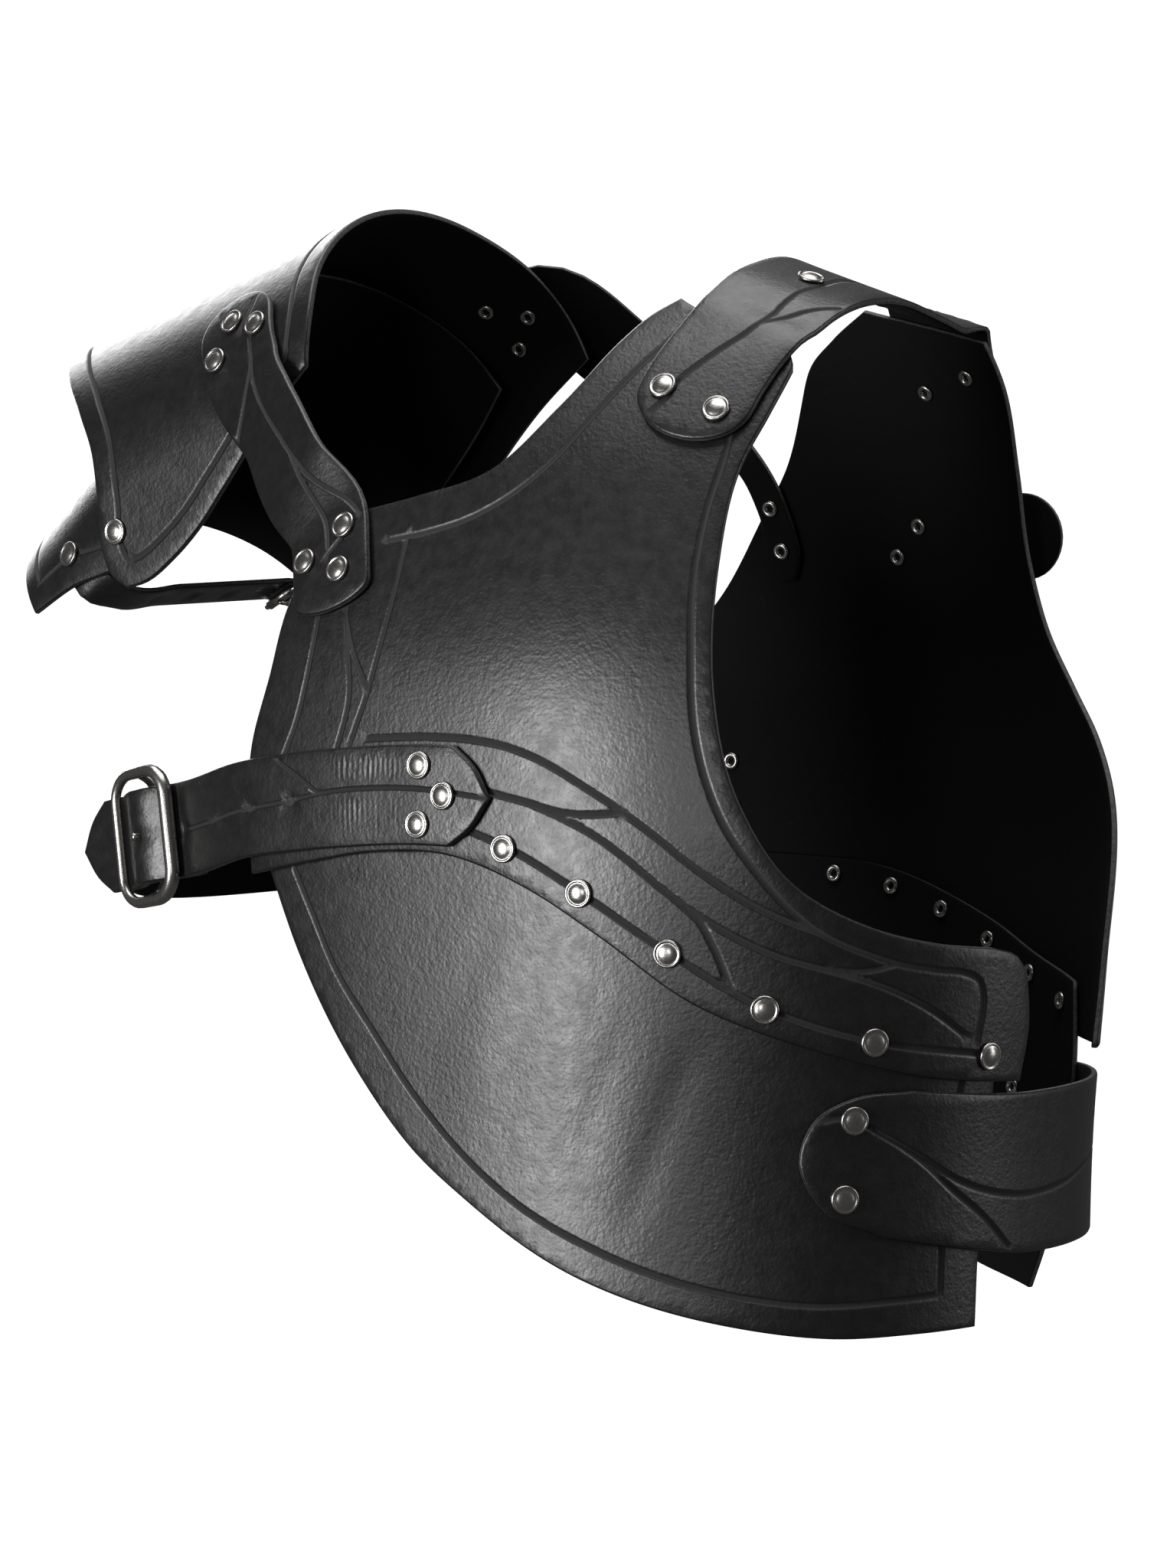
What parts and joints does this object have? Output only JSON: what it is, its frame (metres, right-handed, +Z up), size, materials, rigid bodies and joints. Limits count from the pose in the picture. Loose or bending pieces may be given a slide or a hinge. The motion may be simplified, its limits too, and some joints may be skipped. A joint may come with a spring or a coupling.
{
  "type": "leather cuirass with pauldron",
  "caption": "Leather breast and back plates with hanging hip plates, a band over the left shoulder, side straps with a buckle, and a strapped lame pauldron on the right shoulder.",
  "frame": {"origin": "on the wearer's mid-plane, at the height where the left shoulder band rests on the shoulder", "axes": "+X to the wearer's left, -Y to the wearer's front, +Z up"},
  "size_m": [0.5008, 0.3113, 0.4688],
  "materials": {
    "black_leather": "dyed through and waxed to a satin gloss",
    "satin_nickel": "satin nickel plate"
  },
  "bodies": {
    "root": {"arm_buckle": "satin_nickel", "arm_buckle_chape": "black_leather", "arm_strap": "black_leather", "back_plate": "black_leather", "back_tab": "black_leather", "belly_plate": "black_leather", "breastplate": "black_leather", "front_pauldron_strap": "black_leather", "lower_back_plate": "black_leather", "pauldron_lower": "black_leather", "pauldron_upper": "black_leather", "rear_pauldron_strap": "black_leather", "rear_waist_strap": "black_leather", "rivet_arm_strap_1": "satin_nickel", "rivet_arm_strap_2": "satin_nickel", "rivet_back_row_1": "satin_nickel", "rivet_back_row_2": "satin_nickel", "rivet_back_row_3": "satin_nickel", "rivet_back_row_4": "satin_nickel", "rivet_back_row_5": "satin_nickel", "rivet_back_row_6": "satin_nickel", "rivet_back_tab_1": "satin_nickel", "rivet_back_tab_2": "satin_nickel", "rivet_front_strap_low_1": "satin_nickel", "rivet_front_strap_low_2": "satin_nickel", "rivet_front_strap_low_3": "satin_nickel", "rivet_front_strap_top_1": "satin_nickel", "rivet_front_strap_top_2": "satin_nickel", "rivet_front_strap_top_3": "satin_nickel", "rivet_pauldron_pin_1": "satin_nickel", "rivet_pauldron_pin_2": "satin_nickel", "rivet_rear_strap_low_1": "satin_nickel", "rivet_rear_strap_low_2": "satin_nickel", "rivet_rear_strap_top_1": "satin_nickel", "rivet_rear_strap_top_2": "satin_nickel", "rivet_rear_strap_top_3": "satin_nickel", "rivet_rear_waist_strap_1": "satin_nickel", "rivet_rear_waist_strap_2": "satin_nickel", "rivet_shoulder_front_1": "satin_nickel", "rivet_shoulder_front_2": "satin_nickel", "rivet_shoulder_rear_1": "satin_nickel", "rivet_shoulder_rear_2": "satin_nickel", "rivet_side_front_1": "satin_nickel", "rivet_side_front_2": "satin_nickel", "rivet_side_rear_1": "satin_nickel", "rivet_side_rear_2": "satin_nickel", "rivet_waist_row_1": "satin_nickel", "rivet_waist_row_2": "satin_nickel", "rivet_waist_row_3": "satin_nickel", "rivet_waist_row_4": "satin_nickel", "rivet_waist_row_5": "satin_nickel", "rivet_waist_row_6": "satin_nickel", "rivet_waist_strap_1": "satin_nickel", "rivet_waist_strap_2": "satin_nickel", "rivet_waist_strap_3": "satin_nickel", "shoulder_band": "black_leather", "side_band": "black_leather", "waist_buckle_frame": "satin_nickel", "waist_strap": "black_leather"}
  },
  "joints": []
}
